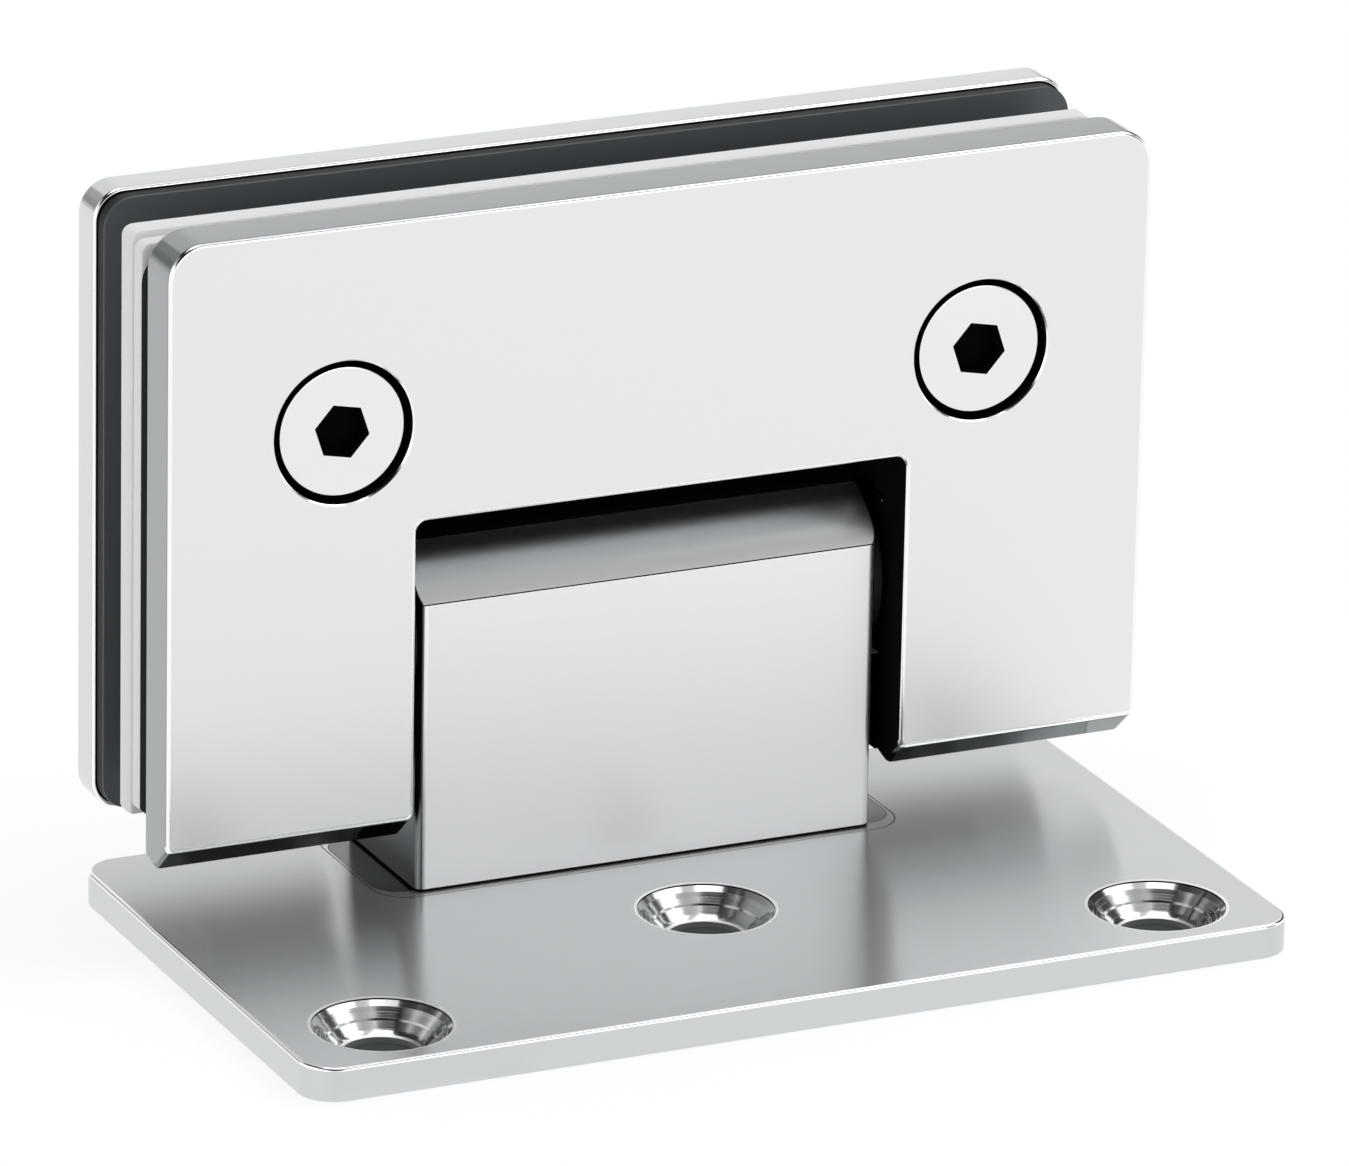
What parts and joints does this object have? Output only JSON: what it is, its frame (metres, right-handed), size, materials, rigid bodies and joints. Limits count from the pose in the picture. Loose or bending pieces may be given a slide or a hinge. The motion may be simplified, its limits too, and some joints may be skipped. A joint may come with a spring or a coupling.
{
  "type": "glass door hinge",
  "caption": "Wall-to-glass hinge for a frameless shower door: a screwed wall plate, a pivot block with detents, and a two-plate clamp that grips the glass.",
  "frame": {"origin": "centre of the wall plate's underside, which lies on the wall", "axes": "+X along the pivot pin, +Y towards the edge of the wall plate over which the clamp stands, +Z away from the wall"},
  "size_m": [0.09, 0.051, 0.0637],
  "materials": {
    "satin_steel": "satin brushed stainless steel",
    "polished_steel": "polished",
    "screw_steel": "bright turned",
    "spring_steel": "drawn wire",
    "black_rubber": "matt",
    "white_packing": "matt white PVC",
    "black_acetal": "matt",
    "clear_nylon": "semi-matt"
  },
  "bodies": {
    "wall_side": {"wall_plate": "polished_steel", "pivot_block": "satin_steel", "block_screw_left": "screw_steel", "block_screw_right": "screw_steel", "pin_bush_left": "black_acetal", "pin_bush_right": "black_acetal", "spring_left": "spring_steel", "spring_right": "spring_steel"},
    "leaf": {"front_plate": "satin_steel", "rear_plate": "satin_steel", "front_gasket": "black_rubber", "front_packing": "white_packing", "rear_packing": "white_packing", "rear_gasket": "black_rubber", "clamp_screw_left": "screw_steel", "clamp_screw_right": "screw_steel", "clamp_sleeve_left": "clear_nylon", "clamp_sleeve_right": "clear_nylon", "pivot_pin": "polished_steel"},
    "left_plunger": {"plunger_left": "polished_steel"},
    "right_plunger": {"plunger_right": "polished_steel"}
  },
  "joints": [
    {"name": "leaf_swing", "type": "hinge", "parent": "wall_side", "child": "leaf", "pos_m": [0, 0.0156, 0.0248], "axis": [1, 0, 0], "range_deg": [-90, 90]},
    {"name": "left_plunger_lift", "type": "slide", "parent": "wall_side", "child": "left_plunger", "axis": [0, 0, 1], "range_m": [0, 0.0006], "stiffness_N_per_m": 2000, "springref_m": 0.0006, "deforming": ["spring_left"]},
    {"name": "right_plunger_lift", "type": "slide", "parent": "wall_side", "child": "right_plunger", "axis": [0, 0, 1], "range_m": [0, 0.0006], "stiffness_N_per_m": 2000, "springref_m": 0.0006, "deforming": ["spring_right"]}
  ]
}
